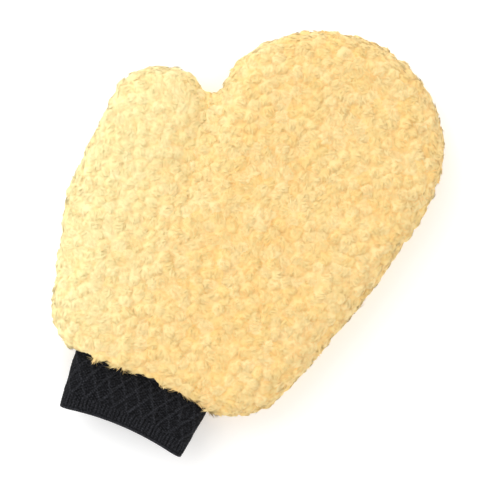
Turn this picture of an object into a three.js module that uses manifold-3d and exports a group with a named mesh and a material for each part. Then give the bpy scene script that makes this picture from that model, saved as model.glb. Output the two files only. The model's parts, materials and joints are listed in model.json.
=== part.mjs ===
// Wool wash mitt: a hand lobe and a thumb lobe of deep pile on two sewn pelts, with a knitted wrist cuff.
// Millimetres, +Z up. The mitt lies palm down, its cuff's mouth towards -Y and its fingertips towards +Y.
// Plan sizes are measured from the middle of the cuff's mouth line, heights from the mitt's mid-plane.
import * as THREE from 'three';
import { mergeVertices } from 'three/addons/utils/BufferGeometryUtils.js';
import Module from 'manifold-3d';

const wasm = await Module();
wasm.setup();

// ---- Driving dimensions ------------------------------------------------------------------------

// Overall
const TOTAL_LENGTH = 302.5;     // from the mouth's corners to the fingertips
const CUFF_SHOWING = 31;        // from the mouth's corners to the wool's lower edge

// Hand lobe
const HEEL_LEFT = 67;           // where the sides would meet the wool's lower edge, left of the middle
const HEEL_RIGHT = 86;          // the same to the right
const HEEL_LEFT_ROUND = 45;
const HEEL_RIGHT_ROUND = 55;
const LEFT_SIDE_LEAN = 16.5;    // degrees outward from +Y
const RIGHT_SIDE_LEAN = 14.7;

// Thumb lobe
const THUMB_BULGE_HEIGHT = 100; // from the wool's lower edge up to the widest place on the left
const THUMB_BULGE_ROUND = 60;
const THUMB_SIDE_LEAN = 2.9;    // degrees inward from +Y, above the bulge
const THUMB_LENGTH = 73;        // along the crease, from its foot to the thumb's end line
const THUMB_END_SLOPE = 12;      // degrees that the end line falls towards the outside
const CREASE_FOOT_X = -21;
const CREASE_FOOT_HEIGHT = 140; // from the wool's lower edge
const CREASE_LEAN = 10.8;       // degrees towards the thumb from +Y

// Wool, pelt and pocket
const PILE_DEPTH = 18;          // wool above and below the pelt
const PILE_REACH = 15;          // wool sideways past the pelt's edge
const PILE_EDGE_ROUND = 20;     // how far in from the rim the wool's face becomes flat
const PELT_THICKNESS = 1.5;
const PELT_EDGE_ROUND = 7;
const SEAM_ALLOWANCE = 2.5;     // flat rim where the two pelts are sewn
const POCKET_HEIGHT = 12;
const POCKET_EDGE_ROUND = 5;
const RIM_WALL = 1;             // upright part of every rounded rim
const SEAM_THREAD = 1.4;

// Cuff
const MOUTH_HALF_WIDTH = 42.5;
const CUFF_HALF_WIDTH = 49;     // where it goes under the wool
const CUFF_HEIGHT = 17;
const CUFF_EDGE_ROUND = 8;
const CUFF_UNDER_WOOL = 13;     // from the wool's lower edge to the wrist seam
const MOUTH_BEND = 3;           // how far the middle of the mouth lies in from its corners
const KNIT_THICKNESS = 1.3;
const KNIT_SPACE = 1.4;         // between the two knit layers, for the elastic
const HEM_LENGTH = 3.2;
const HEM_PROUD = 0.5;
const ELASTIC_COUNT = 3;
const ELASTIC_THREAD = 0.8;
const ELASTIC_PITCH = 2.3;
const WRIST_THREAD = 0.8;
const WRIST_THREAD_BACK = 3;    // from the wrist seam down the cuff

// Folds, in degrees
const THUMB_TO_PALM = 45;
const THUMB_TO_BACK = 25;
const CUFF_SWING = 40;

// Clearances and fineness
const FIT_GAP = 0.3;
const ARC_STEP = THREE.MathUtils.degToRad(7.5);
const REACH = 800;              // longer than anything that is cut
const POINT_GAP = 0.1;          // outline points closer than this are one point

// ---- Sizes that follow from them -------------------------------------------------------------------

const radians = THREE.MathUtils.degToRad;
const HALF_POCKET = POCKET_HEIGHT / 2;
const HALF_PELT = HALF_POCKET + PELT_THICKNESS;
const HALF_MITT = HALF_PELT + PILE_DEPTH;
const HALF_CUFF = CUFF_HEIGHT / 2;
const WRIST_SEAM = CUFF_SHOWING + CUFF_UNDER_WOOL;
const WRIST_CLEARANCE = HALF_CUFF + WRIST_THREAD / 2 + FIT_GAP;
const CREASE_FOOT = new THREE.Vector2(CREASE_FOOT_X, CUFF_SHOWING + CREASE_FOOT_HEIGHT);
const PELT_INSET = PILE_REACH;
const POCKET_INSET = PELT_INSET + SEAM_ALLOWANCE;

// ---- Solids ------------------------------------------------------------------------------------

function toSolid(geometry) {
  geometry.deleteAttribute('normal');
  geometry.deleteAttribute('uv');
  const merged = mergeVertices(geometry, 1e-4);
  const vertProperties = new Float32Array(merged.attributes.position.array);
  const triVerts = new Uint32Array(merged.index.array);
  return new wasm.Manifold(new wasm.Mesh({ numProp: 3, vertProperties, triVerts }));
}

function toGeometry(solid) {
  const mesh = solid.getMesh();
  const geometry = new THREE.BufferGeometry();
  geometry.setAttribute('position', new THREE.BufferAttribute(new Float32Array(mesh.vertProperties), 3));
  geometry.setIndex(new THREE.BufferAttribute(new Uint32Array(mesh.triVerts), 1));
  geometry.computeVertexNormals();
  return geometry;
}

function placed(geometry, matrix) {
  return toSolid(geometry.applyMatrix4(matrix));
}

/** A rounded slab on a plan shape: its rim is inset from the shape, upright in the middle, and curves
 * over to flat faces at plus and minus halfHeight. */
function pillow(shape, inset, halfHeight, edgeRound, segments) {
  const geometry = new THREE.ExtrudeGeometry(shape, {
    depth: RIM_WALL,
    bevelEnabled: true,
    bevelThickness: halfHeight - RIM_WALL / 2,
    bevelSize: edgeRound,
    bevelOffset: -inset - edgeRound,
    bevelSegments: segments,
  });
  return toSolid(geometry.translate(0, 0, -RIM_WALL / 2));
}

/** A straight-sided slab on a plan shape, inset from it. */
function slab(shape, inset, halfHeight) {
  const geometry = new THREE.ExtrudeGeometry(shape, {
    depth: 2 * halfHeight - 2 * FIT_GAP,
    bevelEnabled: true,
    bevelThickness: FIT_GAP,
    bevelSize: FIT_GAP,
    bevelOffset: -inset - FIT_GAP,
    bevelSegments: 1,
  });
  return toSolid(geometry.translate(0, 0, FIT_GAP - halfHeight));
}

/** A prism along the X axis of a frame, from a profile drawn in that frame's Y and Z. */
function prismAlongX(profile, fromX, toX, frame) {
  const geometry = new THREE.ExtrudeGeometry(profile, { depth: toX - fromX, bevelEnabled: false });
  const stand = new THREE.Matrix4().makeBasis(
    new THREE.Vector3(0, 1, 0),
    new THREE.Vector3(0, 0, 1),
    new THREE.Vector3(1, 0, 0),
  );
  geometry.applyMatrix4(stand).translate(fromX, 0, 0);
  return placed(geometry, frame);
}

function cylinderAlongX(radius, frame) {
  const geometry = new THREE.CylinderGeometry(radius, radius, REACH * 2, 48);
  return placed(geometry.rotateZ(Math.PI / 2), frame);
}

function halfSpaceBox(x, y, z) {
  const geometry = new THREE.BoxGeometry(REACH, REACH, REACH);
  return geometry.translate(x * REACH / 2, y * REACH / 2, z * REACH / 2);
}

// ---- Plan of the wool ------------------------------------------------------------------------------

/** The plan of a polygon with rounded corners. Each corner is { at, radius }, anticlockwise. */
function roundedShape(corners) {
  const points = [];
  corners.forEach((corner, i) => {
    const before = corners[(i + corners.length - 1) % corners.length].at.clone().sub(corner.at).normalize();
    const after = corners[(i + 1) % corners.length].at.clone().sub(corner.at).normalize();
    const half = Math.acos(THREE.MathUtils.clamp(before.dot(after), -1, 1)) / 2;
    const middle = before.clone().add(after).normalize();
    const centre = corner.at.clone().addScaledVector(middle, corner.radius / Math.sin(half));
    const start = corner.at.clone().addScaledVector(before, corner.radius / Math.tan(half)).sub(centre);
    const turn = Math.sign(before.cross(after)) * -(Math.PI - 2 * half);
    const steps = Math.max(3, Math.ceil(Math.abs(turn) / ARC_STEP));
    for (let k = 0; k <= steps; k++) {
      const point = start.clone().rotateAround(new THREE.Vector2(), turn * k / steps).add(centre);
      if (points.length === 0 || point.distanceTo(points.at(-1)) > POINT_GAP) points.push(point);
    }
  });
  return new THREE.Shape(points);
}

/** The radius that turns two neighbouring corners into one full round end. */
function fullRound(outerBefore, first, second, outerAfter) {
  const edge = second.clone().sub(first);
  const cotangent = (at, a, b) => {
    const angle = Math.acos(a.clone().sub(at).normalize().dot(b.clone().sub(at).normalize()));
    return 1 / Math.tan(angle / 2);
  };
  const share = cotangent(first, outerBefore, second) + cotangent(second, first, outerAfter);
  return edge.length() / share;
}

function leaning(from, rise, degrees) {
  return new THREE.Vector2(from.x + rise * Math.tan(radians(degrees)), from.y + rise);
}

/** A point beside the crease: so far up it from its foot, and so far across it to the right. */
function besideCrease(up, across) {
  return new THREE.Vector2(across, up).rotateAround(new THREE.Vector2(), radians(CREASE_LEAN)).add(CREASE_FOOT);
}

function woolShape() {
  const slit = FIT_GAP;
  const heelLeft = new THREE.Vector2(-HEEL_LEFT, CUFF_SHOWING);
  const heelRight = new THREE.Vector2(HEEL_RIGHT, CUFF_SHOWING);
  const handLength = TOTAL_LENGTH - CUFF_SHOWING;
  const tipRight = leaning(heelRight, handLength, RIGHT_SIDE_LEAN);
  const footRight = besideCrease(0, slit);
  const tipLeft = leaning(footRight, TOTAL_LENGTH - footRight.y, -CREASE_LEAN);
  const footLeft = besideCrease(0, -slit);
  const thumbRight = besideCrease(THUMB_LENGTH, -slit);
  const bulge = leaning(heelLeft, THUMB_BULGE_HEIGHT, -LEFT_SIDE_LEAN);
  // The thumb's end line falls from thumbRight until it meets the thumb's outer side.
  const fall = Math.tan(radians(THUMB_END_SLOPE));
  const side = Math.tan(radians(THUMB_SIDE_LEAN));
  const run = (thumbRight.x - bulge.x - side * (thumbRight.y - bulge.y)) / (1 - side * fall);
  const thumbLeft = new THREE.Vector2(thumbRight.x - run, thumbRight.y - run * fall);
  const slitRound = fullRound(tipLeft, footRight, footLeft, thumbRight);
  const tipRound = fullRound(heelRight, tipRight, tipLeft, footRight);
  const thumbRound = fullRound(footLeft, thumbRight, thumbLeft, bulge);
  return roundedShape([
    { at: heelLeft, radius: HEEL_LEFT_ROUND },
    { at: heelRight, radius: HEEL_RIGHT_ROUND },
    { at: tipRight, radius: tipRound },
    { at: tipLeft, radius: tipRound },
    { at: footRight, radius: slitRound },
    { at: footLeft, radius: slitRound },
    { at: thumbRight, radius: thumbRound },
    { at: thumbLeft, radius: thumbRound },
    { at: bulge, radius: THUMB_BULGE_ROUND },
  ]);
}

// ---- The two folds -----------------------------------------------------------------------------------

/** The thumb folds about a line through the crease's foot, square to the crease: this frame's X. */
const thumbFrame = new THREE.Matrix4()
  .makeTranslation(CREASE_FOOT.x, CREASE_FOOT.y, 0)
  .multiply(new THREE.Matrix4().makeRotationZ(radians(CREASE_LEAN)));

/** The cuff folds about the wrist seam, which lies along X. */
const cuffFrame = new THREE.Matrix4().makeTranslation(0, WRIST_SEAM, 0);

const thumbSide = placed(halfSpaceBox(-1, 1, 0), thumbFrame);

/** The slice that a lobe gives up beyond its fold's barrel, so that it can turn that way. */
function foldSlice(degrees, upward) {
  const angle = radians(degrees);
  const slice = new THREE.Shape([
    new THREE.Vector2(0, 0),
    new THREE.Vector2(REACH * Math.sin(angle), upward * REACH * Math.cos(angle)),
    new THREE.Vector2(0, upward * REACH),
  ]);
  return prismAlongX(slice, -REACH, REACH, thumbFrame);
}

/** All of the thumb's side but a barrel about the fold, which stays with the hand. */
const notHand = thumbSide.subtract(cylinderAlongX(HALF_MITT, thumbFrame));

const thumbZone = thumbSide
  .subtract(cylinderAlongX(HALF_MITT + FIT_GAP, thumbFrame))
  .subtract(foldSlice(THUMB_TO_BACK, 1))
  .subtract(foldSlice(THUMB_TO_PALM, -1));

/** The room that the cuff sweeps: a barrel about the seam, opening out towards the mouth. */
function cuffSweep() {
  const swing = radians(CUFF_SWING);
  const rim = Math.PI / 2 - swing;
  const far = (side) => new THREE.Vector2(
    Math.cos(rim) * WRIST_CLEARANCE - Math.cos(swing) * REACH,
    side * (Math.sin(rim) * WRIST_CLEARANCE + Math.sin(swing) * REACH),
  );
  const barrel = new THREE.EllipseCurve(0, 0, WRIST_CLEARANCE, WRIST_CLEARANCE, -rim, rim, false);
  const sweep = new THREE.Shape([far(-1), ...barrel.getPoints(24), far(1)]);
  const halfWidth = CUFF_HALF_WIDTH + WRIST_THREAD / 2 + FIT_GAP;
  return prismAlongX(sweep, -halfWidth, halfWidth, cuffFrame);
}

const wristRoom = cuffSweep();

// ---- Wool, pelts and their seam ------------------------------------------------------------------------

const wool = woolShape();
const peltBody = pillow(wool, PELT_INSET, HALF_PELT, PELT_EDGE_ROUND, 4);
const peltRoom = pillow(wool, PELT_INSET - FIT_GAP, HALF_PELT + FIT_GAP, PELT_EDGE_ROUND, 4);
const pocket = pillow(wool, POCKET_INSET, HALF_POCKET, POCKET_EDGE_ROUND, 3);
const threadOuter = PELT_INSET - FIT_GAP - SEAM_THREAD;
const threadRoom = slab(wool, threadOuter - FIT_GAP, SEAM_THREAD / 2 + FIT_GAP);

const pile = pillow(wool, 0, HALF_MITT, PILE_EDGE_ROUND, 6)
  .subtract(peltRoom)
  .subtract(threadRoom)
  .subtract(wristRoom);
const pelt = peltBody.subtract(pocket).subtract(wristRoom);
const seamThread = slab(wool, threadOuter, SEAM_THREAD / 2)
  .subtract(slab(wool, threadOuter + SEAM_THREAD, SEAM_THREAD))
  .subtract(wristRoom);

const backHalf = toSolid(halfSpaceBox(0, 0, 1).translate(0, 0, FIT_GAP / 2));
const palmHalf = toSolid(halfSpaceBox(0, 0, -1).translate(0, 0, -FIT_GAP / 2));

/** The separate runs of a thread that the folds and the wrist cut, lowest on the left first. */
function runsOf(solid) {
  return solid.decompose().sort((a, b) => a.boundingBox().min[0] - b.boundingBox().min[0]);
}

// ---- Cuff --------------------------------------------------------------------------------------------

function cuffShape() {
  const below = -HALF_CUFF;
  const above = WRIST_SEAM + CUFF_HALF_WIDTH;
  return new THREE.Shape([
    new THREE.Vector2(-MOUTH_HALF_WIDTH, below * 3),
    new THREE.Vector2(MOUTH_HALF_WIDTH, below * 3),
    new THREE.Vector2(MOUTH_HALF_WIDTH, 0),
    new THREE.Vector2(CUFF_HALF_WIDTH, CUFF_SHOWING),
    new THREE.Vector2(CUFF_HALF_WIDTH, above),
    new THREE.Vector2(-CUFF_HALF_WIDTH, above),
    new THREE.Vector2(-CUFF_HALF_WIDTH, CUFF_SHOWING),
    new THREE.Vector2(-MOUTH_HALF_WIDTH, 0),
  ]);
}

const cuffPlan = cuffShape();

/** The space inside a flattened tube that lies so far below the cuff's outer surface. */
function cuffCore(depth) {
  return pillow(cuffPlan, depth, HALF_CUFF - depth, CUFF_EDGE_ROUND - depth, 5);
}

/** The tube between two depths below the cuff's outer surface. */
function cuffLayer(outerDepth, innerDepth) {
  return cuffCore(outerDepth).subtract(cuffCore(innerDepth));
}

/** A band across the cuff that follows the mouth's bend, between two distances from the mouth. */
function cuffBand(from, to) {
  const bend = (x, y) => new THREE.Vector2(x, y + MOUTH_BEND * (1 - (x / MOUTH_HALF_WIDTH) ** 2));
  const stations = [-1.5, -1, -0.75, -0.5, -0.25, 0, 0.25, 0.5, 0.75, 1, 1.5].map((s) => s * MOUTH_HALF_WIDTH);
  const lower = stations.map((x) => bend(x, from));
  const upper = stations.map((x) => bend(x, to)).reverse();
  const geometry = new THREE.ExtrudeGeometry(new THREE.Shape([...lower, ...upper]), {
    depth: REACH,
    bevelEnabled: false,
  });
  return toSolid(geometry.translate(0, 0, -REACH / 2));
}

/** What the cuff keeps of a tube: all up to the wrist seam, and a barrel about it. */
const cuffReach = placed(halfSpaceBox(0, -1, 0), cuffFrame).add(cylinderAlongX(HALF_CUFF, cuffFrame));
const knitSpan = cuffBand(HEM_LENGTH + FIT_GAP, REACH).intersect(cuffReach);
const innerLayerDepth = KNIT_THICKNESS + KNIT_SPACE;
const wristThreadFrom = WRIST_SEAM - WRIST_THREAD_BACK - WRIST_THREAD;
const seamBand = (gap) => {
  const geometry = new THREE.BoxGeometry(REACH, WRIST_THREAD + 2 * gap, REACH);
  return toSolid(geometry.translate(0, wristThreadFrom + WRIST_THREAD / 2, 0));
};
const wristThread = cuffLayer(-WRIST_THREAD / 2, WRIST_THREAD / 2).intersect(seamBand(0));
const wristThreadRoom = cuffLayer(-WRIST_THREAD, WRIST_THREAD / 2 + FIT_GAP).intersect(seamBand(FIT_GAP));
const outerKnit = cuffLayer(0, KNIT_THICKNESS).intersect(knitSpan).subtract(wristThreadRoom);
const innerKnit = cuffLayer(innerLayerDepth, innerLayerDepth + KNIT_THICKNESS).intersect(knitSpan);
const hem = cuffLayer(-HEM_PROUD, innerLayerDepth + KNIT_THICKNESS + HEM_PROUD).intersect(cuffBand(0, HEM_LENGTH));

function elasticThread(index) {
  const outerDepth = KNIT_THICKNESS + (KNIT_SPACE - ELASTIC_THREAD) / 2;
  const from = HEM_LENGTH + ELASTIC_PITCH * (index + 0.5);
  return cuffLayer(outerDepth, outerDepth + ELASTIC_THREAD).intersect(cuffBand(from, from + ELASTIC_THREAD));
}

// ---- Materials -----------------------------------------------------------------------------------------

const matte = (colour, roughness) => new THREE.MeshStandardMaterial({ color: colour, roughness, metalness: 0 });
const woolMaterial = () => matte(0xfbe0a2, 0.95);
const peltMaterial = () => matte(0xe9dcc0, 0.85);
const knitMaterial = () => matte(0x26272b, 0.9);
const threadMaterial = () => matte(0xf0e6cf, 0.7);
const elasticMaterial = () => matte(0x1a1a1c, 0.6);

// ---- Assembly --------------------------------------------------------------------------------------------

const mitt = new THREE.Group();

function addPiece(name, solid, material) {
  const mesh = new THREE.Mesh(toGeometry(solid), material);
  mesh.name = name;
  mitt.add(mesh);
}

addPiece('back_pile', pile.intersect(backHalf).subtract(notHand), woolMaterial());
addPiece('palm_pile', pile.intersect(palmHalf).subtract(notHand), woolMaterial());
addPiece('back_pelt', pelt.intersect(backHalf).subtract(notHand), peltMaterial());
addPiece('palm_pelt', pelt.intersect(palmHalf).subtract(notHand), peltMaterial());
const [heelThread, fingerThread] = runsOf(seamThread.subtract(notHand));
addPiece('heel_seam_thread', heelThread, threadMaterial());
addPiece('finger_seam_thread', fingerThread, threadMaterial());

addPiece('thumb_back_pile', pile.intersect(backHalf).intersect(thumbZone), woolMaterial());
addPiece('thumb_palm_pile', pile.intersect(palmHalf).intersect(thumbZone), woolMaterial());
addPiece('thumb_back_pelt', pelt.intersect(backHalf).intersect(thumbZone), peltMaterial());
addPiece('thumb_palm_pelt', pelt.intersect(palmHalf).intersect(thumbZone), peltMaterial());
addPiece('thumb_seam_thread', seamThread.intersect(thumbZone), threadMaterial());

addPiece('cuff_outer_knit', outerKnit, knitMaterial());
addPiece('cuff_inner_knit', innerKnit, knitMaterial());
addPiece('cuff_hem', hem, knitMaterial());
for (let i = 0; i < ELASTIC_COUNT; i++) {
  addPiece(`elastic_thread_${i + 1}`, elasticThread(i), elasticMaterial());
}
addPiece('wrist_thread', wristThread, threadMaterial());

// The origin is under the middle of the mitt, on the surface that it lies on.
const box = new THREE.Box3().setFromObject(mitt);
const middle = box.getCenter(new THREE.Vector3());
mitt.position.set(-middle.x, -middle.y, -box.min.z);

export default mitt;
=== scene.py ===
"""Wool wash mitt: deep curled pile on a hand lobe and a thumb lobe, and a knitted wrist cuff.

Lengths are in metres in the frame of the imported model: +Y from the cuff's mouth to the fingertips,
+Z out of the back of the hand, and the palm side lying on z = 0.
"""

import json
import logging
import math
from collections.abc import Callable, Iterator, Sequence
from contextlib import contextmanager
from dataclasses import dataclass, field
from enum import Enum

import bmesh
import bpy
import numpy as np
from mathutils import Matrix, Vector, noise
from mathutils.bvhtree import BVHTree
from mathutils.kdtree import KDTree


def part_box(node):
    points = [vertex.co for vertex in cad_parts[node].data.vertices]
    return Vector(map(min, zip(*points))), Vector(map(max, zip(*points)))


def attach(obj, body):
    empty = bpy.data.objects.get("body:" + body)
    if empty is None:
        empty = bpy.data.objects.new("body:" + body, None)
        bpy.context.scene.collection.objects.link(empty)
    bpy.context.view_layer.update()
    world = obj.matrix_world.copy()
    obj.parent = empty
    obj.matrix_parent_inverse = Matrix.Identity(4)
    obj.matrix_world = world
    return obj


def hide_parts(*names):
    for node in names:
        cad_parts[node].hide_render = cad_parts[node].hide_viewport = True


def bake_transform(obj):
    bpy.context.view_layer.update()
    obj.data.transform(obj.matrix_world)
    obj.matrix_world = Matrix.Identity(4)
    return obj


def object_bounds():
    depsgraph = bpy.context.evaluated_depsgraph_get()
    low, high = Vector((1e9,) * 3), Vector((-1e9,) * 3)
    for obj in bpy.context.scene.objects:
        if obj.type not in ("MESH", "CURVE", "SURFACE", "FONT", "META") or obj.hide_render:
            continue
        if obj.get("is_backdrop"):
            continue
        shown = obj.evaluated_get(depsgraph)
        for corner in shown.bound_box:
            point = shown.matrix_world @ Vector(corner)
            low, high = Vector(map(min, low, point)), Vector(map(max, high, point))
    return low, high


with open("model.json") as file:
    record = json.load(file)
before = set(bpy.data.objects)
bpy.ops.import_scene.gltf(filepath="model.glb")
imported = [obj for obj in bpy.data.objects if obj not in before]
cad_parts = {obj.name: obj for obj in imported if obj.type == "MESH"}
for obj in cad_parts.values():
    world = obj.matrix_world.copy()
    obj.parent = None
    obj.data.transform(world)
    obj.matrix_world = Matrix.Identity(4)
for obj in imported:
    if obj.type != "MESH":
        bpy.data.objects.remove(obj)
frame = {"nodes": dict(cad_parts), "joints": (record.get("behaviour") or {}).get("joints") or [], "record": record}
CAD_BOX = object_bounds()

MM = 0.001
Colour = tuple[float, float, float]
PELTS = ("back_pelt", "palm_pelt", "thumb_back_pelt", "thumb_palm_pelt")
NOISE_SPAN = (0.3, 0.7)
log = logging.getLogger("wash_mitt")


# ---- Mesh helpers --------------------------------------------------------------------------------


def add_object(name: str, mesh: bpy.types.Mesh) -> bpy.types.Object:
    """Link a mesh to the scene.

    Args:
        name: The piece's name.
        mesh: Its mesh, already in place.

    Returns:
        The new object, at the origin.
    """
    mesh.name = name
    piece = bpy.data.objects.new(name, mesh)
    bpy.context.scene.collection.objects.link(piece)
    return piece


def mesh_from_bmesh(name: str, bm: bmesh.types.BMesh, smooth: bool = True) -> bpy.types.Mesh:
    """Turn a bmesh into a mesh and free it.

    Args:
        name: The mesh's name.
        bm: The bmesh; it can't be used afterwards.
        smooth: Whether its faces are shaded smooth.

    Returns:
        The mesh.
    """
    mesh = bpy.data.meshes.new(name)
    bm.to_mesh(mesh)
    bm.free()
    mesh.shade_smooth() if smooth else mesh.shade_flat()
    return mesh


def apply_modifiers(piece: bpy.types.Object) -> None:
    """Replace a piece's mesh by what its modifiers make of it, and remove them."""
    graph = bpy.context.evaluated_depsgraph_get()
    made = bpy.data.meshes.new_from_object(piece.evaluated_get(graph))
    piece.modifiers.clear()
    piece.data = made
    made.name = piece.name


@contextmanager
def editing(mesh: bpy.types.Mesh) -> Iterator[bmesh.types.BMesh]:
    """Open a mesh as a bmesh, and write it back when the work on it is done."""
    bm = bmesh.new()
    bm.from_mesh(mesh)
    yield bm
    bm.to_mesh(mesh)
    bm.free()


def smooth_out(bm: bmesh.types.BMesh, verts: Sequence[bmesh.types.BMVert], rounds: int) -> None:
    """Move vertices halfway to their neighbours' middle, some rounds."""
    for _ in range(rounds):
        bmesh.ops.smooth_vert(bm, verts=verts, factor=0.5, use_axis_x=True, use_axis_y=True, use_axis_z=True)


def remesh(piece: bpy.types.Object, voxel: float) -> None:
    """Add a voxel remesh to a piece's modifiers."""
    modifier = piece.modifiers.new("even", "REMESH")
    modifier.mode = "VOXEL"
    modifier.voxel_size = voxel


def read_array(items: bpy.types.bpy_prop_collection, name: str, width: int = 1,
               kind: type = float) -> np.ndarray:
    """Read one property of every item in a collection.

    Args:
        items: The collection, such as a mesh's vertices.
        name: The property.
        width: How many numbers it has.
        kind: The numbers' type.

    Returns:
        One value an item, or one row an item where the width is more than 1.
    """
    values = np.empty(len(items) * width, kind)
    items.foreach_get(name, values)
    return values.reshape(-1, width) if width > 1 else values


def vertex_array(mesh: bpy.types.Mesh) -> np.ndarray:
    """The places of a mesh's vertices, one row each."""
    return read_array(mesh.vertices, "co", 3)


def normal_array(mesh: bpy.types.Mesh) -> np.ndarray:
    """The unit normals of a mesh's vertices, one row each."""
    return read_array(mesh.vertex_normals, "vector", 3)


def store_values(mesh: bpy.types.Mesh, name: str, values: np.ndarray) -> None:
    """Store a number for every vertex of a mesh."""
    attribute = mesh.attributes.get(name) or mesh.attributes.new(name, "FLOAT", "POINT")
    attribute.data.foreach_set("value", values.astype(np.float32))


def set_vertices(mesh: bpy.types.Mesh, places: np.ndarray) -> None:
    """Move a mesh's vertices to new places."""
    mesh.vertices.foreach_set("co", places.astype(np.float32).ravel())
    mesh.update()


def outside(places: np.ndarray, nodes: Sequence[str], reach: float) -> np.ndarray:
    """Which places are further than a reach from some CAD nodes."""
    bm = bmesh.new()
    for node in nodes:
        bm.from_mesh(frame["nodes"][node].data)
    tree = BVHTree.FromBMesh(bm)
    bm.free()
    return np.array([tree.find_nearest(Vector(place), reach)[0] is None for place in places])


def point_tree(places: np.ndarray) -> KDTree:
    """A search tree over places, numbered in their order."""
    tree = KDTree(len(places))
    for number, place in enumerate(places):
        tree.insert(place, number)
    tree.balance()
    return tree


def smooth_step(low: float, high: float, value: np.ndarray | float) -> np.ndarray | float:
    """0 below low, 1 above high, and a smooth rise between them."""
    t = np.clip((value - low) / (high - low), 0, 1)
    return t * t * (3 - 2 * t)


def cloudiness(places: np.ndarray, size: float, seed: float) -> np.ndarray:
    """Smooth noise at each place.

    Args:
        places: One place a row.
        size: How far apart its lumps are.
        seed: Shifts the pattern.

    Returns:
        A value from about -1 to 1 for each place.
    """
    scaled = places / size + seed
    return np.array([noise.noise(Vector(row)) for row in scaled])


# ---- The two folds -------------------------------------------------------------------------------


@dataclass(frozen=True)
class Fold:
    """A joint between the hand's body and a lobe's body: where its fold lies and which way it faces."""

    joint: str
    before: float
    after: float

    @property
    def row(self) -> dict:
        """The joint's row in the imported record."""
        return next(j for j in frame["joints"] if j["name"] == self.joint)

    @property
    def centre(self) -> Vector:
        """A point on the fold's axis."""
        return Vector(self.row["pos_m"])

    @property
    def outward(self) -> Vector:
        """The direction in the plane of the mitt, square to the axis, from the hand to the lobe."""
        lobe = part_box(frame["record"]["behaviour"]["bodies"][self.row["child"]][0])
        across = Vector(self.row["axis"]).cross(Vector((0, 0, 1))).normalized()
        middle = (lobe[0] + lobe[1]) / 2
        return across if across.dot(middle - self.centre) > 0 else -across

    def across(self, places: np.ndarray) -> np.ndarray:
        """How far places are to the side of the joint's centre, along the axis towards the hand."""
        up = self.outward
        return (places - np.array(self.centre)) @ np.array((up.y, -up.x, 0))

    @property
    def placement(self) -> Matrix:
        """Turns x into the direction along the axis, towards the hand's side, and y into outward."""
        up = self.outward
        turn = Matrix((Vector((up.y, -up.x, 0)), up, Vector((0, 0, 1)))).transposed().to_4x4()
        return Matrix.Translation(self.centre) @ turn

    def bend(self, piece: bpy.types.Object) -> None:
        """Bake the piece's transform into its mesh."""
        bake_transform(piece)


THUMB_FOLD = Fold("thumb_fold", before=14 * MM, after=30 * MM)
WRIST_FOLD = Fold("cuff_fold", before=18 * MM, after=14 * MM)


# ---- Shader helpers ------------------------------------------------------------------------------


class Graph:
    """A short way to add and join shader nodes."""

    def __init__(self, tree: bpy.types.NodeTree) -> None:
        """Work in a tree."""
        self.tree = tree

    def add(self, kind: str, inputs: dict | None = None, **settings: object) -> bpy.types.Node:
        """Add a node.

        Args:
            kind: The node's type name.
            inputs: Socket name or number to a value or to the socket that feeds it.
            settings: The node's own properties.

        Returns:
            The node.
        """
        node = self.tree.nodes.new(kind)
        for name, value in settings.items():
            setattr(node, name, value)
        for key, value in (inputs or {}).items():
            if isinstance(value, bpy.types.NodeSocket):
                self.tree.links.new(value, node.inputs[key])
            else:
                node.inputs[key].default_value = value
        return node

    def join(self, source: bpy.types.NodeSocket, target: bpy.types.NodeSocket) -> None:
        """Feed one socket from another."""
        self.tree.links.new(source, target)

    def mix(self, factor: object, first: object, second: object) -> bpy.types.NodeSocket:
        """Mix two colours; each argument is a value or a socket."""
        first, second = ((*value, 1) if isinstance(value, tuple) else value for value in (first, second))
        return self.add("ShaderNodeMix", {0: factor, 6: first, 7: second}, data_type="RGBA").outputs[2]

    def math(self, operation: str, first: object, second: object = 0.0,
             clamp: bool = False) -> bpy.types.NodeSocket:
        """Work out a number from two values or sockets."""
        inputs = {0: first, 1: second}
        return self.add("ShaderNodeMath", inputs, operation=operation, use_clamp=clamp).outputs[0]

    def remap(self, value: object, low: float, high: float, to_low: float,
              to_high: float) -> bpy.types.NodeSocket:
        """Map a number from one range to another, clamped."""
        inputs = {0: value, 1: low, 2: high, 3: to_low, 4: to_high}
        return self.add("ShaderNodeMapRange", inputs, clamp=True).outputs[0]

    def group(self, tree: bpy.types.NodeTree, inputs: dict | None = None) -> bpy.types.NodeSocket:
        """Place a shared effect with its own values, and give its output."""
        return self.add("ShaderNodeGroup", inputs, node_tree=tree).outputs[0]

    def attribute(self, name: str) -> bpy.types.NodeSocket:
        """Read a number that is stored on the mesh."""
        return self.add("ShaderNodeAttribute", attribute_name=name).outputs["Fac"]

    def bump(self, height: bpy.types.NodeSocket, strength: float, depth: float,
             shader: bpy.types.Node) -> None:
        """Roughen a shader's normal by a height."""
        inputs = {"Height": height, "Strength": strength, "Distance": depth}
        self.join(self.add("ShaderNodeBump", inputs).outputs[0], shader.inputs["Normal"])

    def ramp(self, value: object, stops: Sequence[tuple[float, Colour]]) -> bpy.types.NodeSocket:
        """Turn a number into a colour through a row of stops."""
        node = self.add("ShaderNodeValToRGB", {0: value})
        elements = node.color_ramp.elements
        while len(elements) < len(stops):
            elements.new(0.5)
        for element, (position, colour) in zip(elements, stops):
            element.position = position
            element.color = (*colour, 1)
        return node.outputs[0]


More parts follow.
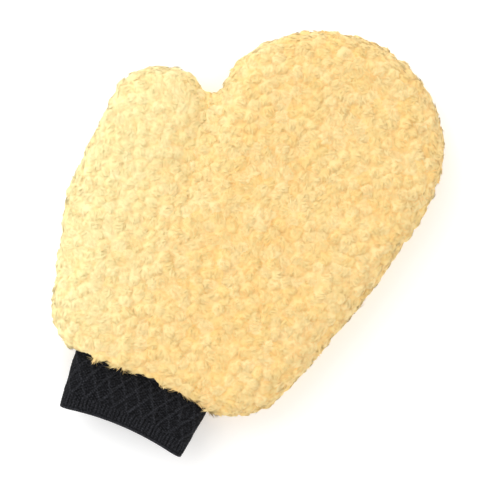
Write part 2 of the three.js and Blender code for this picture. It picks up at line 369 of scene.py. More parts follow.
def effect_group(name: str, inputs: dict[str, tuple[str, object]], outputs: dict[str, str],
                 fill: Callable[[Graph, bpy.types.Node, bpy.types.Node], None]) -> bpy.types.NodeTree:
    """Make a shared effect once.

    Args:
        name: The group's name.
        inputs: Input name to its socket type and default.
        outputs: Output name to its socket type.
        fill: Joins the nodes between the group's input and output.

    Returns:
        The group, new or as it was made before.
    """
    if name in bpy.data.node_groups:
        return bpy.data.node_groups[name]
    tree = bpy.data.node_groups.new(name, "ShaderNodeTree")
    for label, (kind, value) in inputs.items():
        tree.interface.new_socket(label, in_out="INPUT", socket_type=kind).default_value = value
    for label, kind in outputs.items():
        tree.interface.new_socket(label, in_out="OUTPUT", socket_type=kind)
    graph = Graph(tree)
    fill(graph, graph.add("NodeGroupInput"), graph.add("NodeGroupOutput"))
    return tree


def mottle_group() -> bpy.types.NodeTree:
    """Soft blotches in object space: a value that wanders round 0.5."""
    finer_times = 3.1
    finer_share = 0.35

    def fill(graph: Graph, source: bpy.types.Node, sink: bpy.types.Node) -> None:
        """Two sizes of noise, the finer one weaker."""
        place = graph.add("ShaderNodeTexCoord").outputs["Object"]
        scale = source.outputs["Scale"]
        coarse = graph.add("ShaderNodeTexNoise", {"Vector": place, "Scale": scale, "Detail": 2.0})
        finer = graph.math("MULTIPLY", scale, finer_times)
        fine = graph.add("ShaderNodeTexNoise", {"Vector": place, "Scale": finer, "Detail": 1.0})
        inputs = {0: finer_share, 2: coarse.outputs[0], 3: fine.outputs[0]}
        blend = graph.add("ShaderNodeMix", inputs, data_type="FLOAT")
        graph.join(blend.outputs[0], sink.inputs["Value"])

    return effect_group("Mottle", {"Scale": ("NodeSocketFloat", 40.0)}, {"Value": "NodeSocketFloat"}, fill)


def fibre_group() -> bpy.types.NodeTree:
    """Fine strands along a piece's own UV map: a value from 0 to 1."""

    def fill(graph: Graph, source: bpy.types.Node, sink: bpy.types.Node) -> None:
        """Noise drawn out along V."""
        uv = graph.add("ShaderNodeUVMap").outputs[0]
        inputs = {0: source.outputs["Across"], 1: source.outputs["Along"], 2: 1.0}
        stretch = graph.add("ShaderNodeCombineXYZ", inputs).outputs[0]
        drawn = graph.add("ShaderNodeVectorMath", {0: uv, 1: stretch}, operation="MULTIPLY").outputs[0]
        strands = graph.add("ShaderNodeTexNoise", {"Vector": drawn, "Scale": 1.0, "Detail": 3.0})
        graph.join(graph.remap(strands.outputs[0], *NOISE_SPAN, 0.0, 1.0), sink.inputs["Strands"])

    inputs = {"Across": ("NodeSocketFloat", 600.0), "Along": ("NodeSocketFloat", 80.0)}
    return effect_group("Fibre", inputs, {"Strands": "NodeSocketFloat"}, fill)


def new_material(name: str, uniform: dict[str, object]) -> tuple[bpy.types.Material, Graph, bpy.types.Node]:
    """A node material with its plain values set.

    Args:
        name: The material's name.
        uniform: The shader's sockets that are the same all over, and their values.

    Returns:
        The material, its graph, and its Principled shader, already joined to the output.
    """
    material = bpy.data.materials.new(name)
    material.use_nodes = True
    material.node_tree.nodes.clear()
    graph = Graph(material.node_tree)
    shader = graph.add("ShaderNodeBsdfPrincipled", uniform)
    output = graph.add("ShaderNodeOutputMaterial")
    graph.join(shader.outputs[0], output.inputs[0])
    return material, graph, shader


def dress(piece: bpy.types.Object, material: bpy.types.Material) -> None:
    """Give a piece one material in its only slot."""
    piece.data.materials.clear()
    piece.data.materials.append(material)


# ---- Finishes ------------------------------------------------------------------------------------


@dataclass(frozen=True)
class WoolFinish:
    """Cream wool: deep orange at the roots and pale at the tips, partly the wool's own tone and partly painted
    shade between tufts; painted light makes the thumb's side, towards the lights, a paler yellow.
    """

    name: str = "wool"
    root: Colour = (0.90, 0.43, 0.11)
    middle: Colour = (0.90, 0.655, 0.255)
    tip: Colour = (0.91, 0.785, 0.39)
    middle_height: float = 0.42
    tip_height: float = 0.9
    # Painted light: the lit side's pale yellow and the shaded side's darker orange, and where the change between
    # them lies.
    lit_side_lemon: Colour = (0.98, 0.99, 0.57)
    shaded_side_warm: Colour = (0.86, 0.565, 0.19)
    lit_side_edge: float = -0.085
    shaded_side_edge: float = -0.010
    lit_side_share: float = 0.5
    blotch: Colour = (0.92, 0.66, 0.28)
    blotch_scale: float = 70.0
    blotch_share: float = 0.36
    blotch_span: tuple[float, float] = (0.35, 0.65)
    pale: Colour = (0.95, 0.90, 0.62)
    pale_share: float = 0.28
    streak: Colour = (0.85, 0.60, 0.26)
    streak_share: float = 0.10
    fibre_bump: float = 0.25
    fibre_depth: float = 0.3 * MM
    glow: Colour = (0.78, 0.55, 0.20)
    glow_strength: float = 0.15
    sheen_tint: Colour = (1.0, 0.92, 0.66)

    def material(self) -> bpy.types.Material:
        """The material; it reads the attributes lock_height and lock_tint, which every wool piece has."""
        material, graph, shader = new_material(self.name, {
            "Roughness": 0.85,
            "Specular IOR Level": 0.1,
            "Sheen Weight": 0.22,
            "Sheen Roughness": 0.6,
            "Sheen Tint": (*self.sheen_tint, 1),
            "Emission Color": (*self.glow, 1),
            "Emission Strength": self.glow_strength,
        })
        # Painted shade: low values, at the roots, on strands between tufts and in the fleece's valleys, take the
        # deep orange root colour.
        stops = ((0.0, self.root), (self.middle_height, self.middle), (self.tip_height, self.tip))
        by_height_and_shade = graph.ramp(graph.attribute("lock_height"), stops)
        place = graph.add("ShaderNodeSeparateXYZ", {0: graph.add("ShaderNodeTexCoord").outputs["Object"]})
        # Painted light: paler yellow on the -x side, towards the lights, and a darker orange towards +x.
        side = graph.remap(place.outputs[0], self.lit_side_edge, self.shaded_side_edge, 0.0, 1.0)
        side_lit_colour = graph.mix(self.lit_side_share, by_height_and_shade, graph.mix(side, self.lit_side_lemon, self.shaded_side_warm))
        mottle = graph.group(mottle_group(), {"Scale": self.blotch_scale})
        blotches = graph.remap(mottle, *self.blotch_span, 0.0, self.blotch_share)
        blotched = graph.mix(blotches, side_lit_colour, self.blotch)
        each = graph.remap(graph.attribute("lock_tint"), 0.0, 1.0, 0.0, self.pale_share)
        varied = graph.mix(each, blotched, self.pale)
        fibre = graph.group(fibre_group())
        streaks = graph.remap(fibre, 0.0, 1.0, self.streak_share, 0.0)
        graph.join(graph.mix(streaks, varied, self.streak), shader.inputs["Base Color"])
        graph.bump(fibre, self.fibre_bump, self.fibre_depth, shader)
        return material


@dataclass(frozen=True)
class KnitFinish:
    """Near-black knit yarn; raised parts catch more light than the valleys."""

    name: str = "cuff_knit"
    valley: Colour = (0.0010, 0.0010, 0.0014)
    yarn: Colour = (0.058, 0.060, 0.070)
    stitches_across: float = 210.0
    stitches_along: float = 46.0
    stitch_share: float = 0.48
    relief_share: float = 0.52
    fuzz_scale: float = 900.0
    fuzz_share: float = 0.24
    fuzz_height: float = 0.4
    contrast: float = 2.2
    stitch_bump: float = 0.6
    stitch_depth: float = 0.4 * MM

    def material(self) -> bpy.types.Material:
        """The material; it reads the piece's UV map, U round the cuff and V along it."""
        material, graph, shader = new_material(self.name, {
            "Roughness": 0.8,
            "Specular IOR Level": 0.1,
            "Sheen Weight": 0.015,
            "Sheen Roughness": 0.5,
        })
        uv = graph.add("ShaderNodeSeparateXYZ", {0: graph.add("ShaderNodeUVMap").outputs[0]})
        column = graph.math("MULTIPLY", uv.outputs[0], self.stitches_across)
        lean = graph.math("PINGPONG", column, 0.5)
        course = graph.math("ADD", graph.math("MULTIPLY", uv.outputs[1], self.stitches_along), lean)
        stitch = graph.math("MULTIPLY", self.swell(graph, course), self.swell(graph, column))
        place = graph.add("ShaderNodeTexCoord").outputs["Object"]
        fuzz = graph.add("ShaderNodeTexNoise", {"Vector": place, "Scale": self.fuzz_scale, "Detail": 2.0})
        in_stitch = graph.math("MULTIPLY", stitch, self.stitch_share)
        in_relief = graph.math("MULTIPLY", graph.attribute("relief"), self.relief_share)
        uneven = graph.remap(fuzz.outputs[0], *NOISE_SPAN, -self.fuzz_share, self.fuzz_share)
        light = graph.math("ADD", graph.math("ADD", in_stitch, in_relief), uneven, clamp=True)
        light = graph.math("POWER", light, self.contrast)
        graph.join(graph.mix(light, self.valley, self.yarn), shader.inputs["Base Color"])
        height = graph.math("ADD", stitch, graph.math("MULTIPLY", fuzz.outputs[0], self.fuzz_height))
        graph.bump(height, self.stitch_bump, self.stitch_depth, shader)
        return material

    @staticmethod
    def swell(graph: Graph, count: bpy.types.NodeSocket) -> bpy.types.NodeSocket:
        """Rise and fall once for each stitch."""
        return graph.math("ABSOLUTE", graph.math("SINE", graph.math("MULTIPLY", count, math.pi)))


@dataclass(frozen=True)
class PlainFinish:
    """A quiet finish in two close colours with a fine grain, for pelts, threads and elastic."""

    name: str
    dark: Colour
    light: Colour
    grain: float
    roughness: float
    bump: float
    bump_depth: float = 0.3 * MM

    def material(self) -> bpy.types.Material:
        """The material, in object space."""
        material, graph, shader = new_material(self.name, {"Roughness": self.roughness})
        mottle = graph.group(mottle_group(), {"Scale": self.grain})
        factor = graph.remap(mottle, *NOISE_SPAN, 0.0, 1.0)
        graph.join(graph.mix(factor, self.dark, self.light), shader.inputs["Base Color"])
        graph.bump(factor, self.bump, self.bump_depth, shader)
        return material


@dataclass(frozen=True)
class HiddenLayers:
    """The CAD solids that stay as they are: pelts, threads, elastic and the cuff's inner layer."""

    finishes: tuple[tuple[PlainFinish, tuple[str, ...]], ...] = (
        (PlainFinish("pelt", (0.66, 0.55, 0.38), (0.82, 0.74, 0.58), grain=420.0, roughness=0.85, bump=0.5),
         PELTS),
        (PlainFinish("seam_thread", (0.70, 0.62, 0.46), (0.88, 0.82, 0.66), grain=1500.0, roughness=0.7,
                     bump=0.8), ("heel_seam_thread", "finger_seam_thread", "thumb_seam_thread")),
        (PlainFinish("dark_thread", (0.010, 0.010, 0.012), (0.045, 0.045, 0.052), grain=1500.0, roughness=0.7,
                     bump=0.7), ("wrist_thread",)),
        (PlainFinish("elastic", (0.010, 0.010, 0.012), (0.030, 0.030, 0.034), grain=1800.0, roughness=0.6,
                     bump=0.6), ("elastic_thread_1", "elastic_thread_2", "elastic_thread_3")),
        (PlainFinish("cuff_jersey", (0.004, 0.004, 0.005), (0.030, 0.031, 0.037), grain=900.0, roughness=0.85,
                     bump=0.7), ("cuff_inner_knit",)),
    )

    def dress(self) -> None:
        """Give each solid its material."""
        for finish, nodes in self.finishes:
            material = finish.material()
            for node in nodes:
                for slot in frame["nodes"][node].material_slots:
                    slot.material = material


# ---- Fleece: the matted wool under the strands ---------------------------------------------------


@dataclass(frozen=True)
class Bulge:
    """A place where the wool has settled a little out or in, seen from above; all in millimetres."""

    x: float
    y: float
    radius: float
    out_x: float
    out_y: float

    def shift(self, places: np.ndarray) -> np.ndarray:
        """How far each place moves, in metres."""
        away = np.hypot(places[:, 0] - self.x * MM, places[:, 1] - self.y * MM) / (self.radius * MM)
        share = np.exp(-away ** 2)
        return share[:, None] * np.array((self.out_x, self.out_y, 0)) * MM


BULGES = (
    Bulge(-32, 124, 34, -2.2, 1.6),
    Bulge(-61, 81, 13, 1.9, 4.4),
    Bulge(-95, 79, 15, 0.6, -1.7),
    Bulge(112, 63, 22, -1.7, -0.7),
    Bulge(74, -83, 24, -1.7, 0.7),
    Bulge(97, -8, 28, 1.6, -0.6),
    Bulge(-43, 103, 15, -3.0, 0.9),
    Bulge(-91, -95, 22, -1.2, -0.8),
)


class Share(Enum):
    """Which part a cut at the thumb's crease keeps, in the Boolean modifier's words."""

    HAND = "DIFFERENCE"
    THUMB = "INTERSECT"


@dataclass
class Fleece:
    """The body of the wool: the pile's CAD solids, fused, slackened and swelled a little as cloth."""

    voxel: float = 5.0 * MM
    strand_room: float = 2.8 * MM
    flat_share: float = 0.65
    crease_room: float = 0.05 * MM
    tuck: float = 4.0 * MM
    fine_voxel: float = 1.1 * MM
    lump_size: float = 9.0 * MM
    swell_height: float = 1.0 * MM
    lump_height: float = 2.6 * MM
    tuft_radius: float = 4.4 * MM
    tuft_stray: float = 1.7 * MM
    curl_size: float = 2.8 * MM
    crease_width: float = 1.3 * MM
    dome_share: float = 0.55
    valley_share: float = 0.2
    curl_share: float = 0.26
    valley_shade_tone: float = 0.15
    shade_tone_span: float = 0.75
    slack_rounds: int = 4
    groove_rounds: int = 10
    groove_reach: float = 11.0 * MM
    even_rounds: int = 2
    wrist_spread: float = 1.6
    overhang: float = 5.0 * MM
    pelt_reach: float = 2.2 * MM
    cloth_frames: int = 20
    cloth_pressure: float = 4.0
    cloth_stiffness: float = 5.0
    cloth_bending: float = 0.3
    cloth_quality: int = 3
    cloth_cap: float = 1.6 * MM
    fill: float = 0.5
    piles: tuple[str, ...] = ("back_pile", "palm_pile", "thumb_back_pile", "thumb_palm_pile")
    draft: bpy.types.Object | None = field(default=None, init=False)
    free: np.ndarray | None = field(default=None, init=False)
    hand: bpy.types.Object | None = field(default=None, init=False)
    thumb: bpy.types.Object | None = field(default=None, init=False)

    @property
    def pieces(self) -> list[bpy.types.Object]:
        """The hand's piece and the thumb's."""
        return [self.hand, self.thumb]

    def fuse(self) -> None:
        """Join copies of the pile's solids and remesh them as one wool body round the pocket.

        What is free to move afterwards is the outer face, not the pocket's walls, which lie near the pelts.
        """
        bm = bmesh.new()
        for node in self.piles:
            bm.from_mesh(frame["nodes"][node].data)
        bmesh.ops.remove_doubles(bm, verts=bm.verts, dist=0.01 * MM)
        bmesh.ops.recalc_face_normals(bm, faces=bm.faces)
        self.draft = add_object("fleece_draft", mesh_from_bmesh("fleece_draft", bm))
        remesh(self.draft, self.voxel)
        apply_modifiers(self.draft)
        self.draft.data.shade_smooth()
        self.free = outside(vertex_array(self.draft.data), PELTS, self.pelt_reach)

    def slacken(self) -> None:
        """Draw the outer face in to leave room for the strands, and round it over."""
        mesh = self.draft.data
        places = vertex_array(mesh)
        normals = normal_array(mesh)
        room = self.strand_room * (1 + self.flat_share * np.abs(normals[:, 2]))
        places -= normals * (room * self.free * (1 - self.wrist_spread * near_wrist(places)))[:, None]
        places += sum(bulge.shift(places) for bulge in BULGES) * self.free[:, None]
        places[:, 1] -= self.overhang * self.free * near_wrist(places)
        set_vertices(mesh, places)
        in_groove = self.free & (np.abs(THUMB_FOLD.across(places)) < self.groove_reach)
        with editing(mesh) as bm:
            bm.verts.ensure_lookup_table()
            for chosen, rounds in ((self.free, self.slack_rounds), (in_groove, self.groove_rounds)):
                smooth_out(bm, [bm.verts[i] for i in np.flatnonzero(chosen)], rounds)

    def swell(self) -> None:
        """Swell the outer face as pressed cloth, with the pocket's walls pinned."""
        mesh = self.draft.data
        rest = vertex_array(mesh)
        outward = normal_array(mesh)
        pinned = self.draft.vertex_groups.new(name="pinned")
        pinned.add([int(i) for i in np.flatnonzero(~self.free)], 1.0, "REPLACE")
        cloth = self.draft.modifiers.new("swell", "CLOTH")
        settings = cloth.settings
        settings.use_pressure = True
        settings.uniform_pressure_force = self.cloth_pressure
        settings.effector_weights.gravity = 0
        settings.vertex_group_mass = pinned.name
        settings.quality = self.cloth_quality
        settings.tension_stiffness = self.cloth_stiffness
        settings.compression_stiffness = self.cloth_stiffness
        settings.bending_stiffness = self.cloth_bending
        cloth.collision_settings.use_collision = False
        scene = bpy.context.scene
        for number in range(1, self.cloth_frames + 1):
            scene.frame_set(number)
        apply_modifiers(self.draft)
        scene.frame_set(1)
        moved = vertex_array(self.draft.data) - rest
        inward = np.minimum((moved * outward).sum(axis=1, keepdims=True), 0)
        moved -= outward * inward
        length = np.linalg.norm(moved, axis=1, keepdims=True)
        moved *= np.minimum(1, self.cloth_cap / np.maximum(length, 1e-9))
        set_vertices(self.draft.data, rest + moved)

    def build(self) -> None:
        """Make the whole fleece in one piece, then part it at the thumb."""
        self.fuse()
        self.slacken()
        self.swell()
        self.hand = self.part("hand_fleece", Share.HAND)
        self.thumb = self.part("thumb_fleece", Share.THUMB)
        self.tuck_in()
        bpy.data.objects.remove(self.draft)

    def part(self, name: str, share: Share) -> bpy.types.Object:
        """Cut the fleece at the thumb's crease.

        Args:
            name: The new piece's name.
            share: The part to keep.

        Returns:
            The piece.
        """
        is_thumb = share is Share.THUMB
        room = -self.crease_room if is_thumb else self.crease_room
        foot = THUMB_FOLD.before + (self.tuck if is_thumb else 0)
        span = 0.3
        bm = bmesh.new()
        bmesh.ops.create_cube(bm, size=span)
        bmesh.ops.translate(bm, verts=bm.verts, vec=(room - span / 2, span / 2 - foot, 0))
        bmesh.ops.transform(bm, verts=bm.verts, matrix=THUMB_FOLD.placement)
        block = add_object("thumb_block", mesh_from_bmesh("thumb_block", bm))
        piece = add_object(name, self.draft.data.copy())
        cut = piece.modifiers.new("part", "BOOLEAN")
        cut.object = block
        cut.operation = share.value
        cut.solver = "MANIFOLD"
        remesh(piece, self.fine_voxel)
        apply_modifiers(piece)
        bpy.data.objects.remove(block)
        with editing(piece.data) as bm:
            smooth_out(bm, bm.verts, self.even_rounds)
        piece.data.shade_smooth()
        return piece

    def tuck_in(self) -> None:
        """Draw the thumb's foot in, so that it lies inside the hand's fleece."""
        mesh = self.thumb.data
        places = vertex_array(mesh)
        depth = -(places - np.array(THUMB_FOLD.centre)) @ np.array(THUMB_FOLD.outward) - THUMB_FOLD.before
        inward = smooth_step(0, self.tuck, depth) * self.tuck / 2
        set_vertices(mesh, places - normal_array(mesh) * inward[:, None])

    def ruffle(self, piece: bpy.types.Object, tufts: "Tufts") -> None:
        """Heap the outer face up at each tuft and sink it between them."""
        mesh = piece.data
        places = vertex_array(mesh)
        wander = np.stack([cloudiness(places, self.curl_size, seed) for seed in (1, 5, 8)], axis=1)
        numbers, distances = tufts.nearest(places + self.tuft_stray * wander, 2)
        mine = numbers[:, 0]
        dome = np.sqrt(np.clip(1 - (distances[:, 0] / self.tuft_radius) ** 2, 0, 1))
        valley = np.clip((distances[:, 1] - distances[:, 0]) / self.crease_width, 0, 1)
        curls = cloudiness(places, self.curl_size, seed=33.1)
        heap = (self.dome_share * dome + self.valley_share * valley) * tufts.heights[mine]
        heap += self.curl_share * curls
        swells = cloudiness(places, self.lump_size, seed=3.7) * self.swell_height
        raised = (heap * self.lump_height + swells) * outside(places, PELTS, self.pelt_reach)
        set_vertices(mesh, places + normal_array(mesh) * raised[:, None])
        # Painted shade: the fleece's colour value is low, deep orange, in the valleys between tufts and high,
        # pale, on their domes.
        add_wool_values(mesh, np.clip(self.valley_shade_tone + self.shade_tone_span * heap, 0, 1), tufts.tints[mine])
        unwrap_by_side(mesh)

    def declare(self) -> None:
        """Bake both pieces' transforms and hide the pile's CAD solids that they stand for."""
        WRIST_FOLD.bend(self.hand)
        THUMB_FOLD.bend(self.thumb)
        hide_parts("back_pile", "palm_pile")
        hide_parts("thumb_back_pile", "thumb_palm_pile")

    def dress(self, wool: bpy.types.Material) -> None:
        """Give both pieces the wool's finish."""
        for piece in self.pieces:
            dress(piece, wool)


def near_wrist(places: np.ndarray) -> np.ndarray:
    """1 at the wool's edge over the cuff, falling to 0 a centimetre away from it and beside it."""
    edge, inner = -0.118, -0.106
    within, beyond = -0.003, 0.005
    low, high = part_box("cuff_outer_knit")
    sideways = np.abs(places[:, 0] - (low.x + high.x) / 2) - (high.x - low.x) / 2
    return (1 - smooth_step(edge, inner, places[:, 1])) * (1 - smooth_step(within, beyond, sideways))


def add_wool_values(mesh: bpy.types.Mesh, height: np.ndarray, tint: np.ndarray) -> None:
    """Store what the wool finish reads: how far up a strand each point is, lowered as painted shade between tufts
    and in the fleece's valleys, and its tuft's tint.
    """
    store_values(mesh, "lock_height", height)
    store_values(mesh, "lock_tint", tint)


def unwrap_by_side(mesh: bpy.types.Mesh) -> None:
    """Lay faces that look up in one half of the UV square and faces that look down in the other."""
    margin = 10 * MM
    low, high = (np.array(corner) for corner in CAD_BOX)
    places = vertex_array(mesh)
    corner = read_array(mesh.loops, "vertex_index", kind=np.int32)
    up = read_array(mesh.polygons, "normal", 3)[:, 2] >= 0
    above = np.repeat(up, read_array(mesh.polygons, "loop_total", kind=np.int32))
    across, along = ((places[corner, :2] - low[:2] + margin) / (high[:2] - low[:2] + 2 * margin)).T
    coordinates = np.stack((across * 0.5 + np.where(above, 0.0, 0.5), along), axis=1)
    layer = mesh.uv_layers.new(name="OFBake")
    layer.data.foreach_set("uv", coordinates.astype(np.float32).ravel())


# ---- Pile: the strands that stand on the fleece --------------------------------------------------


@dataclass(frozen=True)
class Strand:
    """The pattern of one strand of wool: a thin spike with a few rings, so that it can bend."""

    sides: int = 3
    cuts: tuple[float, ...] = (0.34, 0.68)
    girth: tuple[float, ...] = (0.80, 1.0, 0.85, 0.0)
    flatness: float = 0.4

    def mesh(self) -> bpy.types.Mesh:
        """Cut a cone of unit height into rings."""
        bm = bmesh.new()
        bmesh.ops.create_cone(bm, cap_ends=True, segments=self.sides, radius1=1, radius2=0, depth=1)
        bmesh.ops.translate(bm, verts=bm.verts, vec=(0, 0, 0.5))
        for cut in self.cuts:
            everything = [*bm.verts, *bm.edges, *bm.faces]
            bmesh.ops.bisect_plane(bm, geom=everything, plane_co=(0, 0, cut), plane_no=(0, 0, 1))
        bmesh.ops.remove_doubles(bm, verts=bm.verts, dist=1e-4)
        bmesh.ops.recalc_face_normals(bm, faces=bm.faces)
        return mesh_from_bmesh("strand", bm)


@dataclass
class StrandPattern:
    """The arrays of the pattern strand, ready to be planted many times."""

    around: np.ndarray
    share: np.ndarray
    corners: np.ndarray
    starts: np.ndarray
    uv: np.ndarray

    @classmethod
    def from_strand(cls, strand: Strand) -> "StrandPattern":
        """Measure the strand's mesh.

        Args:
            strand: The strand to draw.

        Returns:
            Its ring offsets, heights, corners, face starts and UV places.
        """
        mesh = strand.mesh()
        places = vertex_array(mesh)
        share = places[:, 2]
        reach = np.linalg.norm(places[:, :2], axis=1, keepdims=True)
        girth = np.interp(share, (0, *strand.cuts, 1), strand.girth)
        around = places[:, :2] / np.maximum(reach, 1e-6) * girth[:, None] * (-1, -strand.flatness)
        corners = read_array(mesh.loops, "vertex_index", kind=np.int32)
        starts = read_array(mesh.polygons, "loop_start", kind=np.int32)
        angle = np.arctan2(places[:, 1], places[:, 0]) / math.tau % 1
        uv = np.stack((angle[corners], share[corners]), axis=1)
        for first, end in zip(starts, np.append(starts[1:], len(corners))):
            wide = uv[first:end, 0]
            if np.ptp(wide) > 0.5:
                wide[wide < 0.4] += 1
        bpy.data.meshes.remove(mesh)
        uv[:, 0] /= max(uv[:, 0].max(), 1)
        return cls(around, share, corners, starts, uv)


@dataclass
class Tufts:
    """The middles that neighbouring strands draw together to, and which way each tuft falls."""

    places: np.ndarray
    normals: np.ndarray
    falls: np.ndarray
    heights: np.ndarray
    tints: np.ndarray
    tree: KDTree

    def nearest(self, sites: np.ndarray, count: int = 1) -> tuple[np.ndarray, np.ndarray]:
        """Find the tufts nearest to some sites.

        Args:
            sites: One place a row.
            count: How many tufts for each.

        Returns:
            The tufts' numbers and their distances, one row a site.
        """
        found = [self.tree.find_n(site, count) for site in sites]
        numbers = np.array([[hit[1] for hit in hits] for hits in found])
        distances = np.array([[hit[2] for hit in hits] for hits in found])
        return numbers, distances


def scatter(mesh: bpy.types.Mesh, count: int, rng: np.random.Generator) -> tuple[np.ndarray, np.ndarray]:
    """Strew sites over a mesh.

    Args:
        mesh: The fleece.
        count: How many sites.
        rng: The source of chance.

    Returns:
        The sites and the unit normals there.
    """
    mesh.calc_loop_triangles()
    triangles = read_array(mesh.loop_triangles, "vertices", 3, np.int32)
    places, normals = vertex_array(mesh), normal_array(mesh)
    edges = places[triangles[:, 1:]] - places[triangles[:, :1]]
    area = np.linalg.norm(np.cross(edges[:, 0], edges[:, 1]), axis=1)
    picked = triangles[rng.choice(len(triangles), count, p=area / area.sum())]
    share = rng.random((count, 2))
    share = np.where(share.sum(axis=1, keepdims=True) > 1, 1 - share, share)
    weights = np.column_stack((1 - share.sum(axis=1), share))[:, :, None]
    upright = (normals[picked] * weights).sum(axis=1)
    return (places[picked] * weights).sum(axis=1), upright / np.linalg.norm(upright, axis=1, keepdims=True)


def surface_area(mesh: bpy.types.Mesh) -> float:
    """The area of a mesh's faces."""
    return float(read_array(mesh.polygons, "area").sum())


def along_surface(directions: np.ndarray, normals: np.ndarray) -> np.ndarray:
    """Lay directions flat on a surface and make them unit long."""
    flat = directions - normals * (directions * normals).sum(axis=1, keepdims=True)
    return flat / np.maximum(np.linalg.norm(flat, axis=1, keepdims=True), 1e-9)


